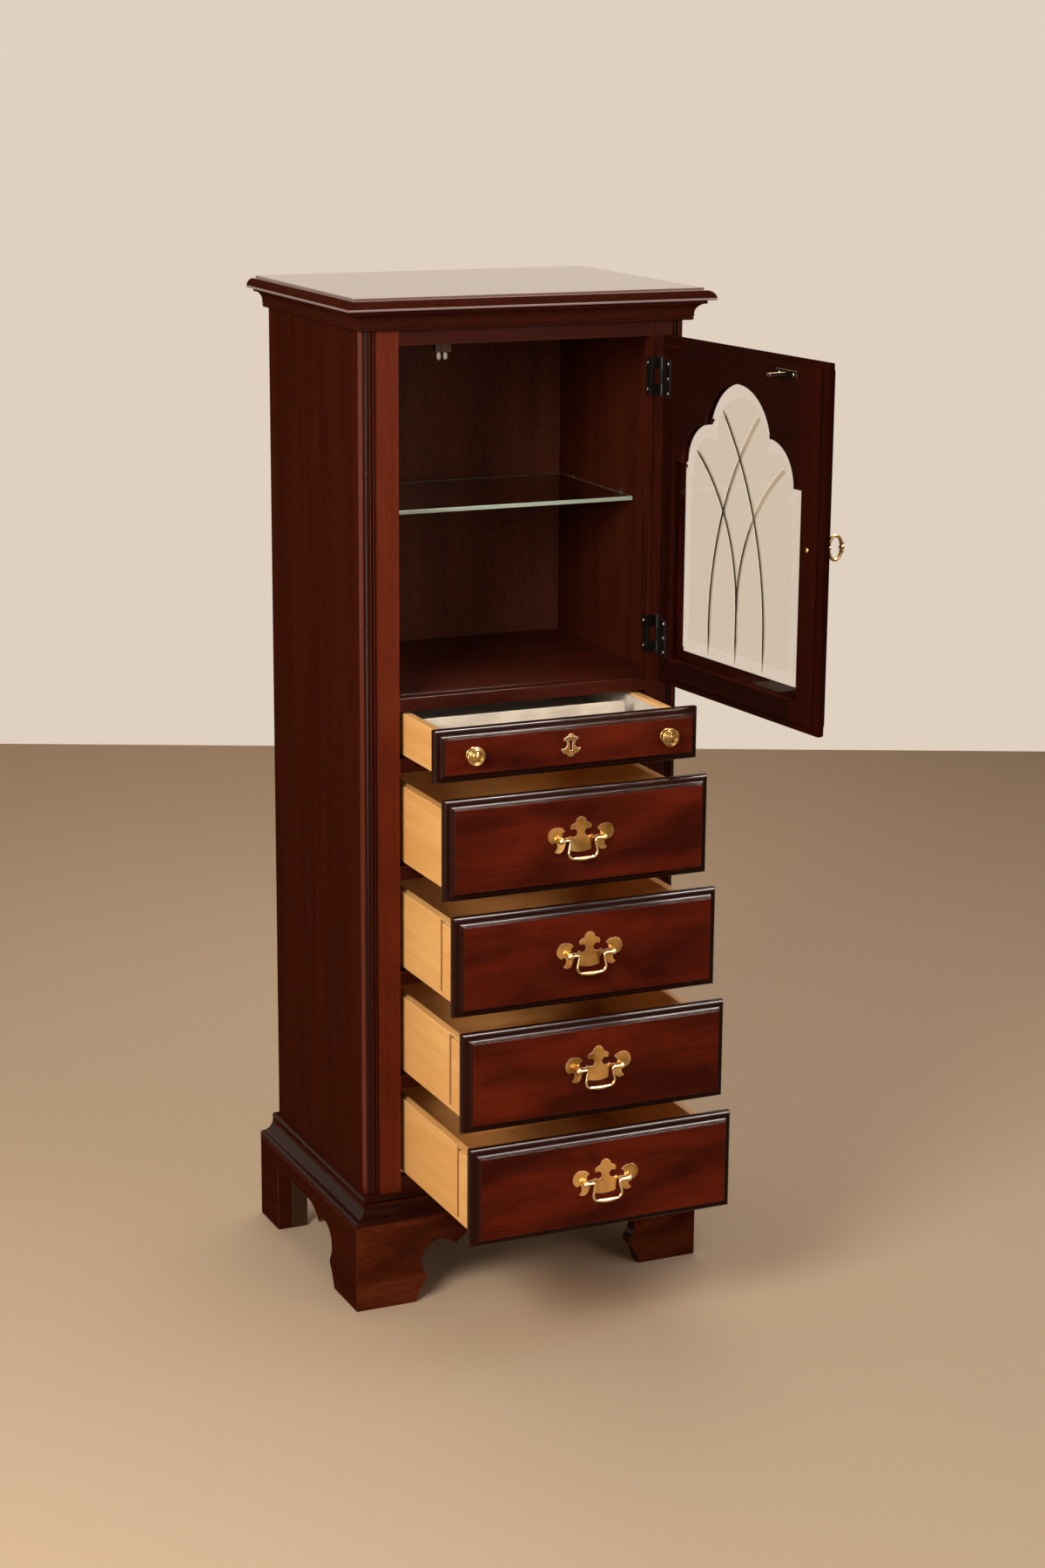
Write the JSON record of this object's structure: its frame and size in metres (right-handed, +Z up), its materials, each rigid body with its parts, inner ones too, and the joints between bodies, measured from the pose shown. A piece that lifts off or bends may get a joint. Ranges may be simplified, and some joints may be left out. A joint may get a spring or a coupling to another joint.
{
  "type": "lingerie chest",
  "caption": "Tall narrow chest on a scrolled bracket base: glazed arched door over a jewellery drawer and a stack of deep drawers with bail pulls, stored open.",
  "frame": {"origin": "on the floor under the middle of the case", "axes": "+Z up, front towards -Y, +X to the right of a person facing the front"},
  "size_m": [0.5494, 0.7616, 1.3994],
  "materials": {
    "cherry": "satin lacquer",
    "maple": "clear lacquer",
    "poplar": "bare",
    "felt": "felt",
    "brass": "antiqued",
    "steel": "plated",
    "black_metal": "semi-gloss black",
    "nylon": "matte",
    "glass": "polished"
  },
  "bodies": {
    "case": {"top_board": "cherry", "crown_moulding": "cherry", "side_panels": "cherry", "front_posts": "cherry", "front_rails": "cherry", "back_panel": "cherry", "cupboard_ceiling": "cherry", "cupboard_floor": "cherry", "drawer_guides": "poplar", "base_moulding": "cherry", "base_front": "cherry", "base_sides": "cherry", "base_blocks": "poplar", "glass_shelf": "glass", "shelf_pins": "steel", "hinge_frame_leaves": "black_metal", "hinge_pins": "black_metal", "catch_body": "steel"},
    "catch_roller_left": {"catch_roller_left": "nylon"},
    "catch_roller_right": {"catch_roller_right": "nylon"},
    "door": {"door_hinge_stile": "cherry", "door_lock_stile": "cherry", "door_arched_rail": "cherry", "door_bottom_rail": "cherry", "door_glass": "glass", "glass_beads": "cherry", "door_pull": "brass", "catch_strike": "steel", "hinge_door_leaves": "black_metal"},
    "jewellery_drawer": {"jewellery_drawer_front": "cherry", "jewellery_drawer_sides": "maple", "jewellery_drawer_back": "maple", "jewellery_drawer_bottom": "maple", "jewellery_drawer_tray": "felt", "jewellery_drawer_knobs": "brass", "jewellery_drawer_escutcheon": "brass"},
    "bail_1": {"drawer_1_bail": "brass"},
    "drawer_1": {"drawer_1_front": "cherry", "drawer_1_sides": "maple", "drawer_1_back": "maple", "drawer_1_bottom": "maple", "drawer_1_pull_plate": "brass"},
    "bail_2": {"drawer_2_bail": "brass"},
    "drawer_2": {"drawer_2_front": "cherry", "drawer_2_sides": "maple", "drawer_2_back": "maple", "drawer_2_bottom": "maple", "drawer_2_pull_plate": "brass"},
    "bail_3": {"drawer_3_bail": "brass"},
    "drawer_3": {"drawer_3_front": "cherry", "drawer_3_sides": "maple", "drawer_3_back": "maple", "drawer_3_bottom": "maple", "drawer_3_pull_plate": "brass"},
    "bail_4": {"drawer_4_bail": "brass"},
    "drawer_4": {"drawer_4_front": "cherry", "drawer_4_sides": "maple", "drawer_4_back": "maple", "drawer_4_bottom": "maple", "drawer_4_pull_plate": "brass"}
  },
  "joints": [
    {"name": "door_hinge", "type": "hinge", "parent": "case", "child": "door", "pos_m": [0.199, -0.1877, 1.1], "axis": [0, 0, 1], "range_deg": [-95.5, 40]},
    {"name": "jewellery_drawer_slide", "type": "slide", "parent": "case", "child": "jewellery_drawer", "axis": [0, -1, 0], "range_m": [-0.13, 0.16]},
    {"name": "drawer_1_slide", "type": "slide", "parent": "case", "child": "drawer_1", "axis": [0, -1, 0], "range_m": [-0.164, 0.126]},
    {"name": "bail_1_swing", "type": "hinge", "parent": "drawer_1", "child": "bail_1", "pos_m": [0, -0.375, 0.69675], "axis": [-1, 0, 0], "range_deg": [-8, 100]},
    {"name": "drawer_2_slide", "type": "slide", "parent": "case", "child": "drawer_2", "axis": [0, -1, 0], "range_m": [-0.195, 0.095]},
    {"name": "bail_2_swing", "type": "hinge", "parent": "drawer_2", "child": "bail_2", "pos_m": [0, -0.406, 0.54625], "axis": [-1, 0, 0], "range_deg": [-8, 100]},
    {"name": "drawer_3_slide", "type": "slide", "parent": "case", "child": "drawer_3", "axis": [0, -1, 0], "range_m": [-0.226, 0.064]},
    {"name": "bail_3_swing", "type": "hinge", "parent": "drawer_3", "child": "bail_3", "pos_m": [0, -0.437, 0.39575], "axis": [-1, 0, 0], "range_deg": [-8, 100]},
    {"name": "drawer_4_slide", "type": "slide", "parent": "case", "child": "drawer_4", "axis": [0, -1, 0], "range_m": [-0.253, 0.037]},
    {"name": "bail_4_swing", "type": "hinge", "parent": "drawer_4", "child": "bail_4", "pos_m": [0, -0.464, 0.24525], "axis": [-1, 0, 0], "range_deg": [-8, 100]},
    {"name": "catch_roller_left_spin", "type": "hinge", "parent": "case", "child": "catch_roller_left", "pos_m": [-0.1157, -0.1535, 1.3167], "axis": [0, 0, 1], "continuous": true},
    {"name": "catch_roller_right_spin", "type": "hinge", "parent": "case", "child": "catch_roller_right", "pos_m": [-0.1063, -0.1535, 1.3167], "axis": [0, 0, 1], "continuous": true}
  ]
}
